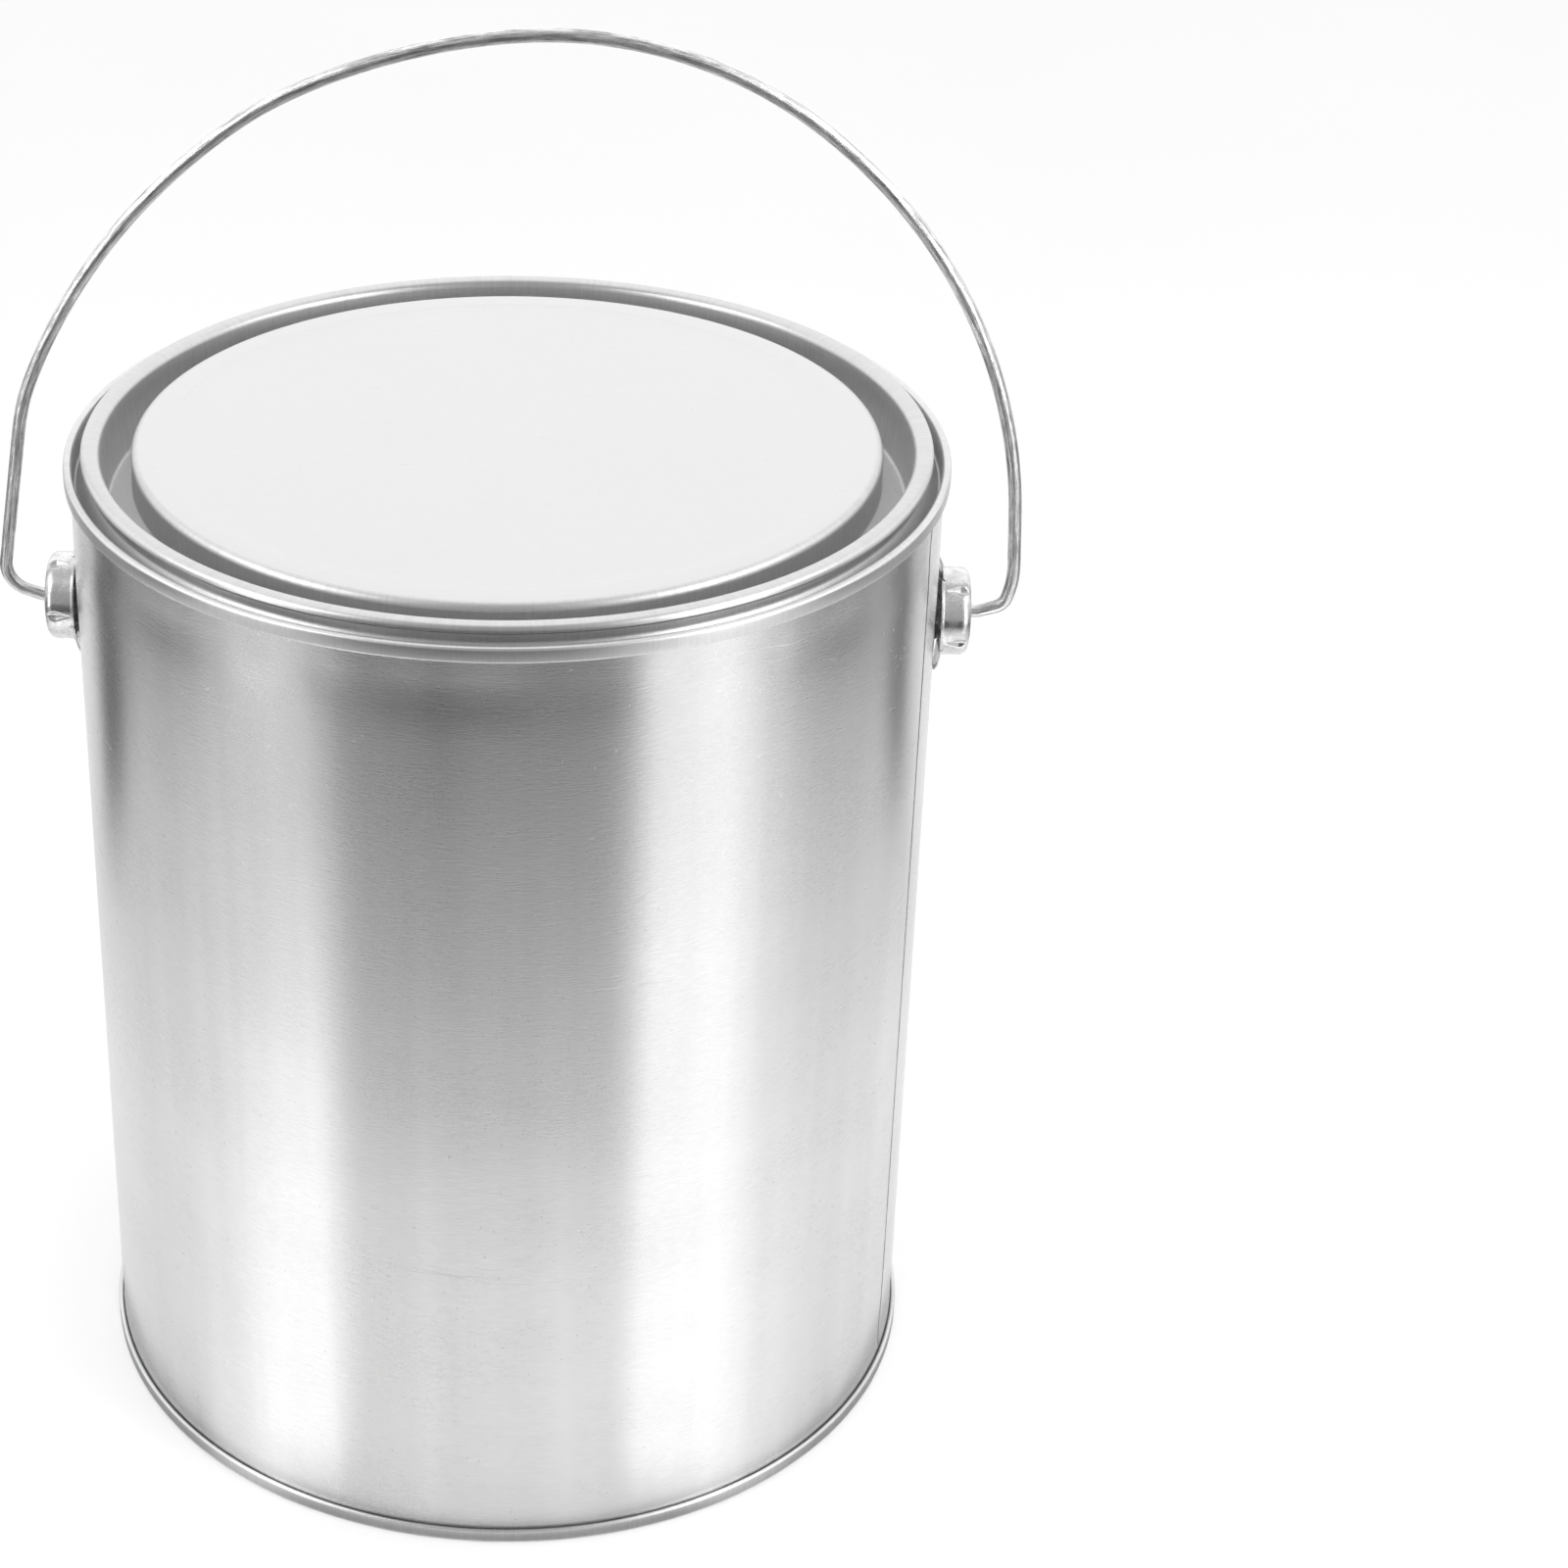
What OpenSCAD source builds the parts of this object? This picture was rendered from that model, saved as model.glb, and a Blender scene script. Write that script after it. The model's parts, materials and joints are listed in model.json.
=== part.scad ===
// Paint can: seamed tinplate body, friction lid in a top ring, and a wire bail in two pressed ears.
// +Z is up, the origin is the middle of the base and X runs through the ears.

/* [Body] */
// Outside diameter over the double seams
seam_d = 165.2; // [150:0.2:175]
// Height of the top seam above the base
can_h = 195.5; // [150:0.5:260]
// Outside diameter of the body wall
body_d = 163; // [147.8:0.2:172.8]
// Thickness of the body sheet
body_t = 0.25; // [0.22:0.01:0.27]
// Thickness of the sheet of the ring, the bottom and the lid
end_t = 0.28; // [0.24:0.01:0.3]
// Height of each double seam
seam_h = 2.9; // [2.8:0.1:3.4]
// Width of the welded overlap down the side of the body
weld_w = 0.9; // [0.5:0.1:2]
// Compass angle of the side weld, from the right ear towards the back
weld_angle = -17.2; // [-60:0.1:60]
// How far the weld stands proud of the body wall
weld_proud = 0.08; // [0.05:0.01:0.1]

/* [Top ring] */
// Diameter of the mouth that the lid plugs
mouth_d = 152.4; // [140:0.2:153]
// Depth of the channel between the seam and the mouth
channel_depth = 4.5; // [4.2:0.1:6]
// Height of the mouth's bead above the seam
bead_top = 1.95; // [1.6:0.05:2]
// Depth of the mouth's wall below the seam
mouth_depth = 8; // [6:0.5:12]

/* [Lid] */
// Outside diameter of the lid's rim
lid_d = 158.6; // [158:0.1:159]
// Height of the lid's rim above the seam
rim_top = 2.4; // [2.35:0.05:3]
// Height of the middle panel above the seam
panel_top = 1.8; // [0:0.1:2.4]
// Depth of the lid's groove below the seam
groove_depth = 9.9; // [6:0.1:11]
// Diameter of the raised middle of the lid
middle_d = 140; // [130:0.5:142]

/* [Bottom] */
// Height of the bottom panel above the base
panel_rise = 4.5; // [4:0.1:6]
// Depth of each pressed ring in the bottom panel
ring_drop = 0.8; // [0.4:0.1:1.2]

/* [Ears] */
// Height of the ears' middle above the base
pivot_z = 162.3; // [120:0.1:175]
// Outside diameter of an ear's cup
ear_d = 16.8; // [14:0.2:20]
// Distance from the middle of the can to the ears' flat faces
ear_reach = 87.9; // [86.5:0.1:90]
// Thickness of the ears' sheet
ear_t = 0.4; // [0.3:0.05:0.5]
// Distance that each tab reaches from the ear's middle
tab_reach = 11; // [10:0.2:13]
// Roll of the left ear about its own axis
left_roll = 33.7; // [-45:0.1:45]
// Roll of the right ear about its own axis
right_roll = 15.5; // [-45:0.1:45]

/* [Bail] */
// Diameter of the wire
wire_d = 2.5; // [2:0.1:3]
// Gap between the wire and the hole in the ear, on the radius
pivot_gap = 0.08; // [0.02:0.01:0.1]
// Length of the straight left leg
left_leg = 27.8; // [26:0.1:30]

/* [Hidden] */

$fn = 96;
// largest turn between two points on a rounded outline, in degrees
arc_step = 15;
wide_bend = 10;
wide_step = 5;

// Double seam, from the outside in: seaming panel, body hook, end hook, body wall, chuck wall.
seam_r = seam_d / 2;
body_r = body_d / 2;
wall_mid = body_r - body_t / 2;
panel_mid = seam_r - end_t / 2;
wall_gap = 0.03;
chuck_mid = body_r - body_t - wall_gap - end_t / 2;
hook_bend = 0.325;
end_hook_mid = panel_mid - 2 * hook_bend;
seam_round = 0.45;
seam_flat = panel_mid - chuck_mid - 2 * seam_round;
body_hook_bend = 0.385;
hook_gap = 0.1;
end_hook_l = 1.35;
body_hook_l = 1.35;

// A path is walked from a pose [x, y, heading]. A step is [length] or [bend radius, turn],
// and a positive turn is to the left.
function move(p, s) = len(s) == 1
  ? [p.x + s[0] * cos(p.z), p.y + s[0] * sin(p.z), p.z]
  : let (side = sign(s[1]) * s[0])
    [p.x + side * (sin(p.z + s[1]) - sin(p.z)),
     p.y + side * (cos(p.z) - cos(p.z + s[1])),
     p.z + s[1]];
function part_of(s, f) = len(s) == 1 ? [s[0] * f] : [s[0], s[1] * f];
// a bend wider than wide_bend takes a point every wide_step, a tighter one every arc_step
function count_of(s) = len(s) == 1 ? 1 : ceil(abs(s[1]) / (s[0] > wide_bend ? wide_step : arc_step));
function walk(p, steps, i = 0) = i == len(steps)
  ? [p]
  : concat([for (k = [0 : count_of(steps[i]) - 1]) move(p, part_of(steps[i], k / count_of(steps[i])))],
           walk(move(p, steps[i]), steps, i + 1));
function end_of(p, steps, i = 0) = i == len(steps) ? p : end_of(move(p, steps[i]), steps, i + 1);

// Outline of a bent sheet of thickness t whose middle line follows the path.
function beside(p, d) = [max(0, p.x - d * sin(p.z)), p.y + d * cos(p.z)];
function sheet(p, steps, t) = let (q = walk(p, steps))
  concat([for (w = q) beside(w, t / 2)],
         [for (k = [len(q) - 1 : -1 : 0]) beside(q[k], -t / 2)]);

// From the end hook's tip, round the seaming panel and over the seam's flat to the chuck wall.
seam_steps = [[end_hook_l], [hook_bend, 180], [seam_h - end_t - hook_bend - seam_round],
              [seam_round, 90], [seam_flat], [seam_round, 90]];
function seam_start(z) = [end_hook_mid, z - seam_h + end_t / 2 + hook_bend + end_hook_l, -90];

module ring_of(outline) {
  rotate_extrude()
    polygon(outline);
}

module body_shell() {
  // the wall between the two bends that turn out into the body hooks
  bend_z = end_t + hook_gap + body_t / 2 + body_hook_bend;
  wall = can_h - 2 * bend_z;
  steps = [[body_hook_l], [body_hook_bend, -180], [wall], [body_hook_bend, -180], [body_hook_l]];
  start = [wall_mid + 2 * body_hook_bend, bend_z + body_hook_l, -90];
  color("silver")
    ring_of(sheet(start, steps, body_t));
}

module side_weld() {
  // a flat bead down the outside of the wall, between the two seams
  weld_gap = 0.1;
  color("gray")
    rotate([0, 0, weld_angle])
      translate([0, 0, seam_h + weld_gap])
        rotate([0, 0, -weld_w / body_r * 90 / PI])
          rotate_extrude(angle = weld_w / body_r * 180 / PI)
            translate([body_r, 0])
              square([weld_proud, can_h - 2 * seam_h - 2 * weld_gap]);
}

module bottom_end() {
  // chuck wall, corner, and three pressed steps down towards the middle
  corner = 0.6;
  outer_flat = 4;
  ring_flat = 12;
  inner_flat = 14;
  ramp = 30;
  bend = 1;
  slope_l = (ring_drop - 2 * bend * (1 - cos(ramp))) / sin(ramp);
  step_in = [[bend, -ramp], [slope_l], [bend, ramp]];
  step_out = [[bend, ramp], [slope_l], [bend, -ramp]];
  steps = concat(seam_steps,
                 [[panel_rise - seam_round - end_t - corner], [corner, -90], [outer_flat]],
                 step_in, [[ring_flat]], step_out, [[inner_flat]], step_in);
  last = end_of(seam_start(0), steps);
  color("silver")
    mirror([0, 0, 1])
      ring_of(sheet(seam_start(0), concat(steps, [[last.x]]), end_t));
}

module compound() {
  // sealing lining pressed between the body wall and the end hook
  low = seam_h - end_t - hook_bend;
  color("dimgray")
    rotate_extrude()
      translate([body_r, -low])
        square([end_hook_mid - end_t / 2 - body_r, end_hook_l - 0.1]);
}

module bottom_compound() {
  mirror([0, 0, 1])
    compound();
}

module top_compound() {
  translate([0, 0, can_h])
    compound();
}

module top_ring() {
  // seam, chuck wall, channel, bead round the mouth, mouth wall and its hem
  channel_bend = 0.4;
  lean = 4;
  slope = 125;
  bead_bend = 0.815;
  mouth_mid = mouth_d / 2 + end_t / 2;
  bead_out = mouth_mid + 2 * bead_bend;
  chuck_l = (channel_depth - end_t - seam_round - channel_bend * (1 - sin(lean))) / cos(lean);
  down = concat(seam_steps, [[channel_bend, -lean], [chuck_l], [channel_bend, slope + lean - 270]]);
  low = end_of(seam_start(0), down);
  knee = 1.2;
  knee_in = knee * (1 - sin(slope));
  climb = (low.x - bead_out - knee_in) / -cos(slope);
  foot = end_of(seam_start(0), concat(down, [[climb], [knee, 90 - slope]]));
  rise = bead_top - end_t / 2 - bead_bend - foot.y;
  hem = 0.35;
  hem_l = 1.2;
  wall = bead_top + mouth_depth - bead_bend - hem - end_t;
  steps = concat(down, [[climb], [knee, 90 - slope], [rise], [bead_bend, 180], [wall],
                        [hem, 180], [hem_l]]);
  color("silver")
    translate([0, 0, can_h])
      ring_of(sheet(seam_start(0), steps, end_t));
}

module lid_plug() {
  // hem, rim, groove's outer wall, groove's sloping floor, middle's wall and panel
  hem = 0.3;
  hem_l = 0.3;
  skirt_foot = 0.8;
  rim_out = lid_d / 2 - end_t / 2;
  outer_bend = 0.95;
  rim_flat = 1.1;
  inner_bend = 1.4;
  skirt = rim_top - skirt_foot - end_t - hem - outer_bend;
  start = [rim_out - 2 * hem, skirt_foot + end_t / 2 + hem + hem_l, -90];
  wall_lean = 4;
  floor_rise = 135;
  low_bend = 0.5;
  in_bend = 0.8;
  shoulder = 1.5 - end_t / 2;
  shoulder_flat = 4.2;
  wall_l = (rim_top + groove_depth - end_t - inner_bend * cos(wall_lean)
            - low_bend * (1 - sin(wall_lean))) / cos(wall_lean);
  to_wall = [[hem_l], [hem, 180], [skirt], [outer_bend, 90], [rim_flat],
             [inner_bend, 90 - wall_lean], [wall_l], [low_bend, floor_rise + wall_lean - 270]];
  low = end_of(start, to_wall);
  floor_in = low.x - middle_d / 2 + end_t / 2 - in_bend * (1 - sin(floor_rise));
  floor_l = floor_in / -cos(floor_rise);
  to_middle = concat(to_wall, [[floor_l], [in_bend, 90 - floor_rise]]);
  foot = end_of(start, to_middle);
  middle_l = panel_top - end_t / 2 - shoulder - foot.y;
  // a faint pressed step runs round the panel
  step = [[2, 12], [2, -12]];
  to_panel = concat(to_middle, [[middle_l], [shoulder, 90], [shoulder_flat]], step);
  last = end_of(start, to_panel);
  color("gainsboro")
    translate([0, 0, can_h])
      ring_of(sheet(start, concat(to_panel, [[last.x]]), end_t));
}

// An ear faces +X before it is rolled and put in place; its open sides look along Y.
ear_r = ear_d / 2;
ear_corner = 1.8;
// the cup is drawn from inside the wall, and its foot cut to the wall's curve
ear_sunk = 4;
cut_l = 60;
window_half = 5;
window_x = body_r + 0.8;
pinch_angle = 37;
pinch_r = 1.6;
pinch_x = body_r + 3.1;
pinch_out = ear_r + 0.75;
tab_root = 6.5;
tab_shoulder = 9;
tab_tip = 2.6;
hole_r = wire_d / 2 + pivot_gap;

module ear_cup() {
  // the cup's side and face, turned about the pivot
  side_l = ear_reach - ear_corner - body_r + ear_sunk;
  start = [ear_r - ear_t / 2, body_r - ear_sunk, 90];
  face_l = ear_r - ear_corner - hole_r;
  rotate([0, 90, 0])
    ring_of(sheet(start, [[side_l], [ear_corner - ear_t / 2, 90], [face_l]], ear_t));
}

module pinches(r) {
  for (a = [pinch_angle, 180 - pinch_angle, 180 + pinch_angle, -pinch_angle])
    rotate([a, 0, 0])
      translate([pinch_x, pinch_out, 0])
        sphere(r = r);
}

module ear_tabs() {
  // a tab above and below the cup, curved to lie on the body
  tab = [[-window_half, tab_root], [window_half, tab_root], [window_half, tab_shoulder],
         [tab_tip, tab_reach], [-tab_tip, tab_reach], [-window_half, tab_shoulder]];
  for (side = [0, 180])
    rotate([side, 0, 0])
      translate([body_r - ear_sunk, 0, 0])
        rotate([90, 0, 90])
          linear_extrude(height = 2 * ear_sunk)
            polygon(tab);
}

module ear(roll) {
  color("lightgray")
    translate([0, 0, pivot_z])
      difference() {
        union() {
          rotate([roll, 0, 0])
            difference() {
              union() {
                ear_cup();
                intersection() {
                  pinches(pinch_r + ear_t);
                  translate([body_r, 0, 0])
                    rotate([0, 90, 0])
                      cylinder(r = ear_r - ear_t / 4, h = ear_reach - ear_corner - body_r);
                }
              }
              pinches(pinch_r);
              translate([window_x - cut_l, -cut_l / 2, -window_half])
                cube([cut_l, cut_l, 2 * window_half]);
            }
          intersection() {
            rotate([roll, 0, 0])
              difference() {
                ear_tabs();
                rotate([0, 90, 0])
                  cylinder(r = ear_r - ear_t / 2, h = body_r + cut_l);
              }
            cylinder(r = body_r + ear_t, h = cut_l, center = true);
          }
        }
        cylinder(r = body_r, h = cut_l, center = true);
      }
}

module left_ear() {
  mirror([1, 0, 0])
    ear(-left_roll);
}

module right_ear() {
  ear(-right_roll);
}

// Bail, walked in its own plane from the left pin to the right one.
wire_r = wire_d / 2;
wire_sides = 12;
pin_end = 85.3;
pin_out = 88.2;
pin_bend_x = 88.6;
pin_bend = 3;
head_r = 2.15;
head_x = 85.9;
head_l = 1.1;
bail_start = [-pin_bend_x, 0, 180];
// outside bend, left leg, shoulder, and the long curve over the top
over_top = [[pin_bend, -18.5], [2.8], [5.5, -80.4], [left_leg], [45, -14.9], [0.8],
            [117, -30.2], [73, -11.3], [117, -19], [79, -42.9], [101, -49.7]];
right_end = [[20, -20.5], [3, -56.6], [3.2], [pin_bend, -16]];
// the right leg and the right pin close the path on the pivot axis
leg_top = end_of(bail_start, over_top);
no_leg = end_of(leg_top, right_end);
right_leg = no_leg.y / -sin(leg_top.z);
bail_steps = concat(over_top, [[right_leg]], right_end);
bail_end = end_of(bail_start, bail_steps);

module bail_wire() {
  color("darkgray")
    translate([0, 0, pivot_z]) {
      bent_wire();
      pin(-1);
      pin(1);
    }
}

module pin(side) {
  // straight pin through the ear, with its upset head inside the cup
  rotate([0, 90 * side, 0]) {
    translate([0, 0, pin_end])
      cylinder(r = wire_r, h = pin_out - pin_end);
    translate([0, 0, head_x])
      cylinder(r = head_r, h = head_l);
  }
}

module bent_wire() {
  // a tube swept along the path, its two ends sunk in the pins
  inside = 87;
  path = walk([-inside, 0, 180],
              concat([[pin_bend_x - inside]], bail_steps, [[bail_end.x - inside]]));
  rings = len(path);
  r = wire_r - 0.01;
  points = [for (p = path, k = [0 : wire_sides - 1]) let (a = (k + 0.5) * 360 / wire_sides)
              [p.x - r * cos(a) * sin(p.z), r * sin(a), p.y + r * cos(a) * cos(p.z)]];
  skin = [for (i = [0 : rings - 2], k = [0 : wire_sides - 1]) let (n = (k + 1) % wire_sides)
            [i * wire_sides + n, (i + 1) * wire_sides + n, (i + 1) * wire_sides + k,
             i * wire_sides + k]];
  caps = [[for (k = [wire_sides - 1 : -1 : 0]) k],
          [for (k = [0 : wire_sides - 1]) (rings - 1) * wire_sides + k]];
  polyhedron(points, concat(skin, caps));
}

body_shell();
side_weld();
bottom_end();
bottom_compound();
top_ring();
top_compound();
lid_plug();
left_ear();
right_ear();
bail_wire();
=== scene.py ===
"""Looks of the paint can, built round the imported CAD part.

Shapes are worked out in millimetres and stored in metres. +Z is up, the origin is the
middle of the base, X runs through the ears and the camera stands on the -Y side.
"""
import json
import math

import bpy
from mathutils import Matrix, Vector, noise


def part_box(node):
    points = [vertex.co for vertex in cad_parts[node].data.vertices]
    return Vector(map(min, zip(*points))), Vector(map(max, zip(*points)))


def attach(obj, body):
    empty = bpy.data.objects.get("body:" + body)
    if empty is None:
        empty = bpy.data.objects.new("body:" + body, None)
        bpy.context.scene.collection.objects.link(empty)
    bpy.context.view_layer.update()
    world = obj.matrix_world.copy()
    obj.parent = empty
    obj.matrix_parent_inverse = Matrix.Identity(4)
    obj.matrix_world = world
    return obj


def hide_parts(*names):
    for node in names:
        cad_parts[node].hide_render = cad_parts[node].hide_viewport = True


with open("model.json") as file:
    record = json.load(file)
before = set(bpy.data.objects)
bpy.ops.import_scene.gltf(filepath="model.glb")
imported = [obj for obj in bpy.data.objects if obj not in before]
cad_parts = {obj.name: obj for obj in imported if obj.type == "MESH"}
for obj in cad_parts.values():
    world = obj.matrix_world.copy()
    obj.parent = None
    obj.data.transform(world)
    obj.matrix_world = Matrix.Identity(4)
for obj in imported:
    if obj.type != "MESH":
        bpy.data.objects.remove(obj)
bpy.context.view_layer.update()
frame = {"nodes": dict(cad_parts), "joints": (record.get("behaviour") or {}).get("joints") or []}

MM = 0.001

# Sizes read from the frame, in millimetres
SHELL_LOW, SHELL_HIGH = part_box("body_shell")
RING_LOW, RING_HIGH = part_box("top_ring")
LID_LOW, LID_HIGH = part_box("lid_plug")
WELD_LOW, WELD_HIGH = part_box("side_weld")
JOINTS = {joint["name"]: joint for joint in frame["joints"]}
CAN_H = (SHELL_LOW.z + SHELL_HIGH.z) / MM
SEAM_R = RING_HIGH.x / MM
LID_R = LID_HIGH.x / MM
RIM_TOP = LID_HIGH.z / MM - CAN_H
GROOVE_DEPTH = CAN_H - LID_LOW.z / MM
BEAD_TOP = RING_HIGH.z / MM - CAN_H
MOUTH_DEPTH = CAN_H - RING_LOW.z / MM
EAR_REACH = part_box("right_ear")[1].x / MM
PIVOT_Z = JOINTS["bail_swing"]["pos_m"][2] / MM
WELD_TURN = math.atan2(WELD_LOW.y + WELD_HIGH.y, WELD_LOW.x + WELD_HIGH.x)

# Sheets and the double seam, in millimetres
BODY_T = 0.25
END_T = 0.28
SEAM_H = 2.9
SEAM_PROUD = 1.1
SEAM_GAP = 0.03
BODY_R = SEAM_R - SEAM_PROUD
WALL_MID = BODY_R - BODY_T / 2
PANEL_MID = SEAM_R - END_T / 2
CHUCK_MID = BODY_R - BODY_T - SEAM_GAP - END_T / 2
HOOK_BEND = 0.325
SEAM_ROUND = 0.45
SEAM_FLAT = PANEL_MID - CHUCK_MID - 2 * SEAM_ROUND
HOOK_L = 1.35

# Points round a revolved sheet, and the longest straight piece on its section
RING_POINTS = 320
LONGEST = 6.0

# Half the side of the floor, in metres
FLOOR_HALF = 6.0


# ---------------------------------------------------------------- paths and meshes

def move(pose, step, share=1.0):
    """The pose [x, y, heading] after a share of a step.

    A step is [length] for a straight or [bend radius, turn in degrees] for a bend.
    """
    x, y, heading = pose
    if len(step) == 1:
        length = step[0] * share
        return [x + length * math.cos(heading), y + length * math.sin(heading), heading]
    turn = math.radians(step[1]) * share
    side = math.copysign(step[0], step[1])
    return [x + side * (math.sin(heading + turn) - math.sin(heading)),
            y + side * (math.cos(heading) - math.cos(heading + turn)),
            heading + turn]


def in_radians(start):
    return [start[0], start[1], math.radians(start[2])]


def end_of(pose, steps):
    for step in steps:
        pose = move(pose, step)
    return pose


def step_length(step):
    return step[0] * math.radians(abs(step[1])) if len(step) == 2 else step[0]


def length_of(steps):
    return sum(step_length(step) for step in steps)


def walk(pose, steps, longest=LONGEST, arc=15.0):
    """Poses along the steps, each with its distance from the start: [x, y, heading, distance].

    No straight piece is over longest, and no piece of a bend turns more than arc degrees.
    """
    passed = 0.0
    found = [[*pose, passed]]
    for step in steps:
        length = step_length(step)
        count = math.ceil(abs(step[1]) / arc) if len(step) == 2 else 1
        count = max(count, math.ceil(length / longest))
        for k in range(1, count + 1):
            found.append([*move(pose, step, k / count), passed + length * k / count])
        pose = move(pose, step)
        passed += length
    return found


def sheet(start, steps, thickness, lift=0.0, **fineness):
    """Outline of a bent sheet whose middle line follows the steps from start.

    Each point is (radius, height, distance along the sheet).
    """
    line = walk(in_radians(start), steps, **fineness)

    def beside(p, d):
        return (max(0.0, p[0] - d * math.sin(p[2])), p[1] + d * math.cos(p[2]) + lift, p[3])

    left = [beside(p, thickness / 2) for p in line]
    right = [beside(p, -thickness / 2) for p in reversed(line)]
    return left + right


def add_object(name, data):
    made = bpy.data.objects.new(name, data)
    bpy.context.scene.collection.objects.link(made)
    return made


def add_mesh(name, points, faces, grain, material, sharp=40):
    """An object from points in millimetres, with edges over sharp degrees kept sharp.

    grain is a second place per point, which the surface texture follows.
    """
    mesh = bpy.data.meshes.new(name)
    mesh.from_pydata([tuple(c * MM for c in p) for p in points], [], faces)
    lay = mesh.attributes.new("grain", "FLOAT_VECTOR", "POINT")
    lay.data.foreach_set("vector", [c for g in grain for c in g])
    mesh.materials.append(material)
    mesh.shade_smooth()
    mesh.set_sharp_from_angle(angle=math.radians(sharp))
    mesh.validate()
    return add_object(name, mesh)


def revolve(name, outline, material, uneven, mirrored=False):
    """A closed outline of (radius, height, distance along) turned about Z.

    uneven gives each point's radius and height from its radius, turn and height.
    """
    area = sum(a[0] * b[1] - b[0] * a[1] for a, b in zip(outline, outline[1:] + outline[:1]))
    if mirrored:
        outline = [(r, -z, s) for r, z, s in outline]
        area = -area
    points, grain, index = [], [], []
    for r, z, s in outline:
        if r < 1e-6:
            index.append([len(points)] * RING_POINTS)
            points.append((0.0, 0.0, z))
            grain.append((0.0, 0.0, s))
            continue
        index.append([len(points) + k for k in range(RING_POINTS)])
        for k in range(RING_POINTS):
            turn = math.tau * k / RING_POINTS
            c, n = math.cos(turn), math.sin(turn)
            wide, high = uneven(r, turn, z)
            points.append((wide * c, wide * n, high))
            grain.append((SEAM_R * c, SEAM_R * n, s))
    faces = []
    for i, low in enumerate(index):
        high = index[(i + 1) % len(index)]
        for k in range(RING_POINTS):
            n = (k + 1) % RING_POINTS
            corners = [low[k], low[n], high[n], high[k]]
            if area < 0:
                corners.reverse()
            kept = [c for j, c in enumerate(corners) if c != corners[j - 1]]
            if len(kept) > 2:
                faces.append(kept)
    return add_mesh(name, points, faces, grain, material)


def smooth(low, high, x):
    """0 below low, 1 above high, and a soft slope between."""
    t = min(1.0, max(0.0, (x - low) / (high - low)))
    return t * t * (3 - 2 * t)


def bumps(turn, z, around, along, seed=0.0):
    """Soft noise from -1 to 1 on the can's side: waves around it, and a length along z."""
    return noise.noise(Vector((around * math.cos(turn) + seed, around * math.sin(turn), z / along)))


# ---------------------------------------------------------------- materials

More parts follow.
